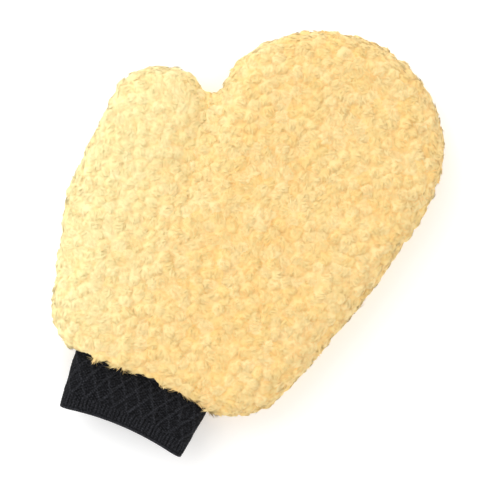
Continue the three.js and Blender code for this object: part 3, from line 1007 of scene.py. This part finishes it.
@dataclass
class Pile:
    """The wool's strands: strewn over the outer faces of the fleece and drawn together in tufts."""

    tuft_spacing: float = 5.5 * MM
    strands_per_mm2: float = 0.57
    height: float = 1.5 * MM
    heights: tuple[float, float] = (0.65, 1.1)
    edge_height: float = 0.3
    gap_height: float = 0.6
    knee_height: float = 0.95
    tip_height: float = 0.8
    reach: float = 7.5 * MM
    fringe: float = 0.9
    fringe_thinning: float = 0.6
    fringe_times: int = 2
    fringe_edge: float = 0.4
    tuft_fall: float = 2.2 * MM
    pull: tuple[float, float] = (0.35, 0.85)
    wrist_release: float = 0.7
    tip_stray: float = 0.225 * MM
    knee_stray: float = 0.27 * MM
    root: float = 0.6 * MM
    width: tuple[float, float] = (0.6 * MM, 1.7 * MM)
    matt: float = 0.75
    whorl_size: float = 24.0 * MM
    whorl_turns: float = 1.2
    tuft_wander: float = 0.5
    strand_wander: float = 0.6
    wrist_fall: float = 2.5
    tint_spread: float = 0.35
    crown_radius: float = 3.9 * MM
    root_shade_tone: float = 0.2
    tuft_heights: tuple[float, float] = (0.55, 1.15)
    joint_gap: float = 1.6 * MM
    joint_facing: float = 0.75
    reaches: tuple[float, float] = (0.5, 1.0)
    whorl_lift: float = 0.3
    bare_reach: float = 2.6 * MM
    seed: int = 11
    bare_nodes: tuple[str, ...] = (*PELTS, "cuff_outer_knit", "cuff_hem")
    hand_names: tuple[str, ...] = ("wrist_wool", "heel_wool", "palm_wool", "thumb_base_wool", "knuckle_wool",
                                   "middle_wool", "finger_wool", "fingertip_wool")
    thumb_names: tuple[str, ...] = ("thumb_wool",)
    rng: np.random.Generator = field(init=False)
    pattern: StrandPattern = field(init=False)
    pieces: list[bpy.types.Object] = field(default_factory=list, init=False)

    def __post_init__(self) -> None:
        """Draw the pattern strand."""
        self.rng = np.random.default_rng(self.seed)
        self.pattern = StrandPattern.from_strand(Strand())

    def build(self, fleece: Fleece) -> None:
        """Heap the fleece up in tufts and cover it with strands, and hang the bands clear of the wrist under the
        hand's empty.
        """
        tufts = [self.tufts(piece.data) for piece in fleece.pieces]
        for piece, heaps in zip(fleece.pieces, tufts):
            fleece.ruffle(piece, heaps)
        fleece.declare()
        hand_wool = self.grow(fleece.hand, tufts[0], self.hand_names)
        thumb_wool = self.grow(fleece.thumb, tufts[1], self.thumb_names)
        for piece in thumb_wool:
            THUMB_FOLD.bend(piece)
        for piece in hand_wool:
            if vertex_array(piece.data)[:, 1].min() < WRIST_FOLD.centre.y + WRIST_FOLD.before:
                WRIST_FOLD.bend(piece)
            else:
                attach(piece, "hand")
        self.pieces = hand_wool + thumb_wool

    def dress(self, wool: bpy.types.Material) -> None:
        """Give every band the wool's finish."""
        for piece in self.pieces:
            dress(piece, wool)

    def tufts(self, mesh: bpy.types.Mesh) -> Tufts:
        """Spread the tufts' middles evenly over a fleece."""
        count = int(surface_area(mesh) / self.tuft_spacing ** 2 * 4)
        sites, normals = scatter(mesh, count, self.rng)
        near = point_tree(sites)
        free = np.ones(count, bool)
        kept = []
        for number, site in enumerate(sites):
            if free[number]:
                kept.append(number)
                free[[hit[1] for hit in near.find_range(site, self.tuft_spacing)]] = False
        places, upright = sites[kept], normals[kept]
        heights = self.rng.uniform(*self.tuft_heights, len(kept))
        falls = self.falls(places, upright, self.tuft_wander)
        return Tufts(places, upright, falls, heights, self.rng.random(len(kept)), point_tree(places))

    def falls(self, sites: np.ndarray, normals: np.ndarray, wander: float) -> np.ndarray:
        """Which way wool falls: in wide whorls that wander, and over the cuff at the wrist."""
        angle = cloudiness(sites, self.whorl_size, seed=21.3) * math.tau * self.whorl_turns
        angle += self.rng.normal(0, wander, len(sites))
        lift = self.whorl_lift * np.sin(angle * 1.7 + 1)
        falls = np.stack((np.cos(angle), np.sin(angle), lift), axis=1)
        falls += np.array((0, -self.wrist_fall, 0)) * near_wrist(sites)[:, None]
        return along_surface(falls, normals)

    def plantable(self, sites: np.ndarray, normals: np.ndarray) -> np.ndarray:
        """Which sites are on the outer faces: not in the pocket, under the cuff or on the thumb's joint."""
        out = np.array(THUMB_FOLD.outward)
        height = (sites - np.array(THUMB_FOLD.centre)) @ out + THUMB_FOLD.before
        joint = (np.abs(height) < self.joint_gap) & (np.abs(normals @ out) > self.joint_facing)
        return outside(sites, self.bare_nodes, self.bare_reach) & ~joint

    def curves(self, sites: np.ndarray, normals: np.ndarray,
               tufts: Tufts) -> tuple[np.ndarray, np.ndarray, np.ndarray]:
        """Bend each strand from its root over to its tuft.

        Args:
            sites: Where the strands stand.
            normals: The fleece's unit normals there.
            tufts: What they draw together to.

        Returns:
            Three control points for each strand, its tuft's number, and how near the tuft's top it stands.
        """
        count = len(sites)
        numbers, distances = tufts.nearest(sites)
        mine = numbers[:, 0]
        crown = np.clip(1 - (distances[:, 0] / self.crown_radius) ** 2, 0, 1)
        upright = self.edge_height + (1 - self.edge_height) * np.abs(normals[:, 2])
        rise = self.height * self.rng.uniform(*self.heights, count) * upright
        rise = (rise * (self.gap_height + (1 - self.gap_height) * crown))[:, None]
        falls = self.falls(sites, normals, self.strand_wander)
        wrist = near_wrist(sites)
        reach = self.reach * self.rng.uniform(*self.reaches, count) * (1 + self.fringe * wrist)
        free = sites + normals * rise * self.tip_height + falls * reach[:, None]
        drawn = tufts.places[mine] + tufts.normals[mine] * rise + tufts.falls[mine] * self.tuft_fall
        pull = (self.rng.uniform(*self.pull, count) * (1 - self.wrist_release * wrist))[:, None]
        tip = free * (1 - pull) + drawn * pull + self.rng.normal(0, self.tip_stray, (count, 3))
        knee = sites + normals * rise * self.knee_height + self.rng.normal(0, self.knee_stray, (count, 3))
        return np.stack((sites - normals * self.root, knee, tip), axis=1), mine, crown

    def plant(self, name: str, curves: np.ndarray, normals: np.ndarray, tint: np.ndarray,
              crown: np.ndarray) -> bpy.types.Object:
        """Plant one piece's strands.

        Args:
            name: The piece's name.
            curves: Three control points for each strand.
            normals: The fleece's unit normals at the roots.
            tint: A shade from 0 to 1 for each strand.
            crown: 1 for strands on top of their tuft, 0 for those between tufts.

        Returns:
            The piece.
        """
        pattern = self.pattern
        count = len(curves)
        start, knee, tip = (curves[:, None, number] for number in range(3))
        t = pattern.share[None, :, None]
        middle = start * (1 - t) ** 2 + knee * 2 * t * (1 - t) + tip * t ** 2
        tangent = (knee - start) * (1 - t) + (tip - knee) * t
        tangent /= np.linalg.norm(tangent, axis=2, keepdims=True)
        side = np.cross(normals, (tip - start)[:, 0])[:, None] + 1e-9
        side = side - tangent * (side * tangent).sum(axis=2, keepdims=True)
        side /= np.linalg.norm(side, axis=2, keepdims=True)
        back = np.cross(tangent, side)
        thick = self.rng.uniform(*self.width, count) / 2
        thick = (thick * (1 - self.fringe_thinning * near_wrist(curves[:, 0])))[:, None, None]
        around = pattern.around[None]
        planted = middle + thick * (side * around[:, :, :1] + back * around[:, :, 1:])
        numbers = np.arange(count)[:, None]
        across = math.ceil(math.sqrt(count))
        tile = np.stack((numbers % across, numbers // across), axis=2)
        mesh = bpy.data.meshes.new(name)
        mesh.vertices.add(planted.shape[0] * planted.shape[1])
        mesh.vertices.foreach_set("co", planted.astype(np.float32).ravel())
        corners = pattern.corners + numbers * len(pattern.share)
        mesh.loops.add(corners.size)
        mesh.loops.foreach_set("vertex_index", corners.astype(np.int32).ravel())
        starts = pattern.starts + numbers * len(pattern.corners)
        mesh.polygons.add(starts.size)
        mesh.polygons.foreach_set("loop_start", starts.astype(np.int32).ravel())
        mesh.update(calc_edges=True)
        margin = 0.06
        uv = (tile + margin + (1 - 2 * margin) * pattern.uv[None]) / across
        mesh.uv_layers.new(name="OFBake").data.foreach_set("uv", uv.astype(np.float32).ravel())
        # Painted shade: strands between tufts get a lower value, so a deeper orange, than strands on a tuft's
        # crown.
        height = (self.root_shade_tone + (1 - self.root_shade_tone) * pattern.share) * crown[:, None]
        add_wool_values(mesh, height.ravel(), np.repeat(tint, len(pattern.share)))
        mesh.shade_smooth()
        facing = normal_array(mesh).reshape(count, -1, 3) * (1 - self.matt) + normals[:, None] * self.matt
        mesh.normals_split_custom_set_from_vertices(facing.reshape(-1, 3))
        return add_object(name, mesh)

    def grow(self, fleece: bpy.types.Object, tufts: Tufts, names: Sequence[str]) -> list[bpy.types.Object]:
        """Cover a fleece with strands, in bands from the wrist to the tips.

        Args:
            fleece: The piece to cover.
            tufts: Its tufts.
            names: The bands' names, as many as are needed to keep each band small.

        Returns:
            The bands.
        """
        count = int(surface_area(fleece.data) / MM ** 2 * self.strands_per_mm2)
        sites, normals = scatter(fleece.data, count, self.rng)
        more_sites, more_normals = scatter(fleece.data, count * self.fringe_times, self.rng)
        edge = near_wrist(more_sites) > self.fringe_edge
        sites = np.concatenate((sites, more_sites[edge]))
        normals = np.concatenate((normals, more_normals[edge]))
        kept = self.plantable(sites, normals)
        sites, normals = sites[kept], normals[kept]
        order = np.argsort(sites[:, 1])
        sites, normals = sites[order], normals[order]
        curves, mine, crown = self.curves(sites, normals, tufts)
        own_tint = self.rng.random(len(sites))
        tint = tufts.tints[mine] * (1 - self.tint_spread) + own_tint * self.tint_spread
        pieces = []
        for name, band in zip(names, np.array_split(np.arange(len(sites)), len(names))):
            piece = self.plant(name, curves[band], normals[band], tint[band], crown[band])
            pieces.append(piece)
        return pieces


# ---- The knitted cuff ----------------------------------------------------------------------------


@dataclass
class Cuff:
    """The wrist cuff: a flat, tapering tube knitted in diamonds over a ribbed band and a rolled hem."""

    mouth_half: float = 43.0 * MM
    top_half: float = 49.3 * MM
    half_height: float = 8.5 * MM
    length: float = 52.4 * MM
    hem: float = 3.2 * MM
    mouth_bend: float = 4.8 * MM
    wall: float = 1.2 * MM
    diamonds: int = 20
    diamond_length: float = 18.0 * MM
    ribs_in_diamond: int = 4
    rib_top: float = 11.0 * MM
    steps_round: int = 400
    steps_along: int = 84
    steps_hem: int = 14
    knit_depth: float = 1.2 * MM
    knit_datum: float = 0.35
    under_hem: float = 0.8
    hem_thickness: float = 1.15 * MM
    hem_proud: float = 0.35 * MM
    hem_stitch: float = 0.06 * MM
    groove_place: float = 0.66
    groove_width: float = 0.28 * MM
    groove_depth: float = 0.35 * MM
    wave_height: float = 0.3 * MM
    wave_across: float = 17.0 * MM
    wave_along: float = 9.0 * MM
    wave_round_off: float = 4.0 * MM
    below_hem: float = 0.6 * MM
    hem_squareness: float = 0.7
    hem_stitches_in_diamond: int = 7
    hem_tone: float = 0.95
    hem_top_shade: float = 0.3
    wander: float = 0.11
    line_width: float = 0.11
    line_edge: float = 0.19
    edge_width: float = 0.06
    line_dip: float = 0.3
    edge_dip: float = 0.55
    line_lift: float = 0.5
    ground: float = 0.42
    cells_in_diamond: int = 3
    cell_length: float = 2.2 * MM
    cell_lift: tuple[float, float] = (0.16, 0.34)
    course_length: float = 1.7 * MM
    course_share: float = 0.2
    rib_flatness: float = 0.6
    rib_lift: float = 0.75
    rib_course: float = 1.6 * MM
    rib_course_lift: float = 0.12
    rib_fade: tuple[float, float] = (1.0 * MM, 0.6 * MM)
    pieces: list[bpy.types.Object] = field(default_factory=list, init=False)

    @property
    def centre(self) -> Vector:
        """The middle of the mouth's lowest line."""
        low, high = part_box("cuff_outer_knit")
        middle = (low + high) / 2
        return Vector((middle.x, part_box("cuff_hem")[0].y - self.below_hem, middle.z))

    def wrap(self, way: np.ndarray, along: np.ndarray, proud: np.ndarray) -> np.ndarray:
        """Lay points on the tube.

        Args:
            way: Share of the way round, 0 to 1, from the thumb side over the back of the hand.
            along: Height above the mouth.
            proud: How far outside the wall's outer face.

        Returns:
            The points, one row each.
        """
        half = self.mouth_half + (self.top_half - self.mouth_half) * along / self.length
        radius = self.half_height
        flat = 2 * (half - radius)
        arc = math.pi * radius
        around = way * 2 * (flat + arc)
        around = (around - arc / 2) % (2 * (flat + arc))
        x = np.zeros_like(around)
        z = np.zeros_like(around)
        out = radius + proud
        on_back = around < flat
        right = (around >= flat) & (around < flat + arc)
        on_palm = (around >= flat + arc) & (around < 2 * flat + arc)
        left = around >= 2 * flat + arc
        x[on_back] = (around - flat / 2)[on_back]
        z[on_back] = out[on_back]
        turn = (around - flat) / radius
        x[right] = (flat / 2 + out * np.sin(turn))[right]
        z[right] = (out * np.cos(turn))[right]
        x[on_palm] = (flat * 1.5 + arc - around)[on_palm]
        z[on_palm] = -out[on_palm]
        turn = (around - 2 * flat - arc) / radius
        x[left] = (-flat / 2 - out * np.sin(turn))[left]
        z[left] = (-out * np.cos(turn))[left]
        bow = self.mouth_bend * (1 - (x / self.mouth_half) ** 2) * (1 - along / self.length)
        wave = self.wave_height * np.sin(x / self.wave_across + along / self.wave_along)
        wave *= np.sign(z) * smooth_step(0, self.wave_round_off, np.abs(z))
        return np.stack((x, along + bow, z + wave), axis=1) + np.array(self.centre)

    def relief(self, way: np.ndarray, along: np.ndarray) -> np.ndarray:
        """The knit's pattern, 0 in the valleys to 1 on the raised lines."""
        spot = np.stack((way * 200, along / MM, np.zeros_like(along)), axis=1)
        loose = self.wander * np.sin(way * math.pi)
        column = way * self.diamonds + loose * cloudiness(spot, 5.0, seed=2.2)
        row = (along - self.rib_top) / self.diamond_length + loose * cloudiness(spot, 6.0, seed=7.7)
        lines = np.zeros_like(column)
        for sign in (1, -1):
            gap = (column + sign * row + 0.5) % 1 - 0.5
            edge = np.exp(-((np.abs(gap) - self.line_edge) / self.edge_width) ** 2)
            ridge = np.exp(-(gap / self.line_width) ** 2)
            lines = np.maximum(lines - self.line_dip * edge, ridge - self.edge_dip * edge)
        cell = np.sin(column * math.tau * self.cells_in_diamond) * np.sin(along / self.cell_length * math.tau)
        least, more = self.cell_lift
        stitches = least + more * np.clip(cloudiness(spot, 9.0, seed=4.1) + 0.4, 0, 1)
        course = np.sin(along / self.course_length * math.tau)
        lines *= 1 - self.course_share + self.course_share * course
        lattice = self.ground + self.line_lift * lines + stitches * cell * (1 - np.clip(lines, 0, 1))
        rib = np.abs(np.sin(column * math.pi * self.ribs_in_diamond)) ** self.rib_flatness
        rib = self.rib_lift * rib + self.rib_course_lift * np.sin(along / self.rib_course * math.tau)
        below, above = self.rib_fade
        blend = smooth_step(self.rib_top - below, self.rib_top + above, along)
        return np.clip(rib * (1 - blend) + lattice * blend, 0, 1)

    def knit(self, way: np.ndarray, share: np.ndarray) -> tuple[np.ndarray, np.ndarray]:
        """Points and relief of the outer face, from under the hem's top to its end in the wool."""
        start = self.hem * self.under_hem
        along = start + share * (self.length - start)
        relief = self.relief(way, along)
        return self.wrap(way, along, (relief - self.knit_datum) * self.knit_depth), relief

    def rolled(self, way: np.ndarray, share: np.ndarray) -> tuple[np.ndarray, np.ndarray]:
        """Points and relief of the hem's rounded section, with a thin groove under its top edge."""
        turn = share * math.tau
        stitch = self.hem_stitch * np.cos(way * self.diamonds * math.tau * self.hem_stitches_in_diamond)
        along = self.hem / 2 + (self.hem / 2 + stitch) * np.sin(turn)
        section = np.sign(np.cos(turn)) * np.abs(np.cos(turn)) ** self.hem_squareness
        proud = self.hem_proud - self.hem_thickness + self.hem_thickness * section
        from_groove = (along - self.hem * self.groove_place) / self.groove_width
        groove = np.exp(-from_groove ** 2) * (np.cos(turn) > 0)
        places = self.wrap(way, along, proud + stitch - groove * self.groove_depth)
        shade = self.hem_top_shade * (along > self.hem * self.under_hem)
        return places, np.clip(self.hem_tone - groove - shade, 0, 1)

    def tube(self, name: str, steps: tuple[int, int], shape: Callable[[np.ndarray, np.ndarray], tuple],
             closed_along: bool) -> bpy.types.Object:
        """Roll a grid into a tube round the wrist.

        Args:
            name: The piece's name.
            steps: Faces round and along.
            shape: Turns shares round and along (0 to 1) into points and a relief value each.
            closed_along: Whether the grid's two long edges meet.

        Returns:
            The piece, with its UV map and relief stored.
        """
        bm = bmesh.new()
        bmesh.ops.create_grid(bm, x_segments=steps[0], y_segments=steps[1], size=0.5, calc_uvs=True)
        layer = bm.loops.layers.uv.verify()
        for face in bm.faces:
            for loop in face.loops:
                loop[layer].uv = (loop.vert.co.x + 0.5, loop.vert.co.y + 0.5)
        mesh = mesh_from_bmesh(name, bm)
        shares = vertex_array(mesh)[:, :2] + 0.5
        places, relief = shape(shares[:, 0], shares[:, 1])
        set_vertices(mesh, places)
        store_values(mesh, "relief", relief)
        mesh.uv_layers[0].name = "OFBake"
        with editing(mesh) as bm:
            bmesh.ops.remove_doubles(bm, verts=bm.verts, dist=0.02 * MM)
            bmesh.ops.recalc_face_normals(bm, faces=bm.faces)
            if not closed_along:
                bmesh.ops.solidify(bm, geom=bm.faces, thickness=self.wall)
        mesh.shade_smooth()
        return add_object(name, mesh)

    def build(self) -> None:
        """Knit the tube and roll the hem."""
        cloth = self.tube("wrist_knit", (self.steps_round, self.steps_along), self.knit, closed_along=False)
        hem = self.tube("rolled_hem", (self.steps_round, self.steps_hem), self.rolled, closed_along=True)
        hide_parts("cuff_outer_knit")
        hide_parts("cuff_hem")
        self.pieces = [cloth, hem]
        for piece in self.pieces:
            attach(piece, "cuff")

    def dress(self, knit: bpy.types.Material) -> None:
        """Give the tube and the hem the knit's finish."""
        for piece in self.pieces:
            dress(piece, knit)


# ---- Studio --------------------------------------------------------------------------------------


@dataclass(frozen=True)
class Softbox:
    """A square area light that looks at the mitt."""

    name: str
    place: tuple[float, float, float]
    size: float
    power: float

    def add(self) -> None:
        """Hang the light."""
        data = bpy.data.lights.new(self.name, "AREA")
        data.shape = "SQUARE"
        data.size = self.size
        data.energy = self.power
        light = bpy.data.objects.new(self.name, data)
        light.location = self.place
        light.rotation_euler = (-Vector(self.place)).to_track_quat("-Z", "Y").to_euler()
        bpy.context.scene.collection.objects.link(light)


@dataclass
class Studio:
    """A pale floor, soft light and a camera straight above, turned to the mitt's slant."""

    slant: float = math.radians(23)
    aim: tuple[float, float, float] = (0.0049, -0.0046, 0.0255)
    distance: float = 0.880
    lens: float = 100.0
    floor_size: float = 12.0
    sensor: float = 36.0
    world_strength: float = 0.78
    floor_glow: float = 0.20
    floor_tones: tuple[Colour, Colour] = ((0.93, 0.93, 0.93), (0.96, 0.96, 0.96))
    floor_mottle: float = 2.0
    light_bounces: int = 10
    softboxes: tuple[Softbox, ...] = (
        Softbox("key", (-0.9, 0.5, 1.5), 1.2, 8.3),
        Softbox("side", (-1.5, 0.3, 1.0), 1.8, 8.0),
        Softbox("fill", (0.8, -0.3, 1.6), 1.4, 3.0),
    )

    def add_floor(self) -> None:
        """Lay the floor just under the palm side."""
        bm = bmesh.new()
        bmesh.ops.create_grid(bm, x_segments=2, y_segments=2, size=self.floor_size / 2)
        bmesh.ops.translate(bm, verts=bm.verts, vec=(0, 0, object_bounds()[0].z))
        floor = add_object("floor", mesh_from_bmesh("floor", bm, smooth=False))
        uniform = {"Roughness": 0.9, "Emission Color": (1, 1, 1, 1), "Emission Strength": self.floor_glow}
        material, graph, shader = new_material("floor", uniform)
        mottle = graph.group(mottle_group(), {"Scale": self.floor_mottle})
        graph.join(graph.mix(mottle, *self.floor_tones), shader.inputs["Base Color"])
        dress(floor, material)
        floor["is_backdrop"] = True

    def add_world(self) -> None:
        """Surround the scene with even white light."""
        world = bpy.data.worlds.new("studio")
        world.use_nodes = True
        background = world.node_tree.nodes["Background"]
        background.inputs[0].default_value = (1, 1, 1, 1)
        background.inputs[1].default_value = self.world_strength
        bpy.context.scene.world = world

    def add_camera(self) -> None:
        """Look straight down at the mitt."""
        data = bpy.data.cameras.new("camera")
        data.lens = self.lens
        data.sensor_width = self.sensor
        camera = bpy.data.objects.new("camera", data)
        camera.location = Vector(self.aim) + Vector((0, 0, self.distance))
        camera.rotation_euler = (0, 0, self.slant)
        bpy.context.scene.collection.objects.link(camera)
        bpy.context.scene.camera = camera

    def build(self) -> None:
        """Set up everything that isn't the mitt."""
        self.add_floor()
        self.add_world()
        self.add_camera()
        for softbox in self.softboxes:
            softbox.add()
        bpy.context.scene.cycles.diffuse_bounces = self.light_bounces
        view = bpy.context.scene.view_settings
        view.view_transform = "Standard"
        view.look = "None"


# ---- Making the mitt -----------------------------------------------------------------------------


def main() -> None:
    """Build the mitt's pieces in order, dress them and set up the studio."""
    logging.basicConfig(level=logging.INFO, format="%(relativeCreated)6d ms %(name)s: %(message)s")
    wool = WoolFinish().material()
    knit = KnitFinish().material()
    fleece, pile, cuff = Fleece(), Pile(), Cuff()
    fleece.build()
    pile.build(fleece)
    cuff.build()
    for part, finish in ((fleece, wool), (pile, wool), (cuff, knit)):
        part.dress(finish)
        for piece in part.pieces:
            log.info("%s: %d faces", piece.name, len(piece.data.polygons))
    HiddenLayers().dress()
    Studio().build()


if __name__ == "__main__":
    main()
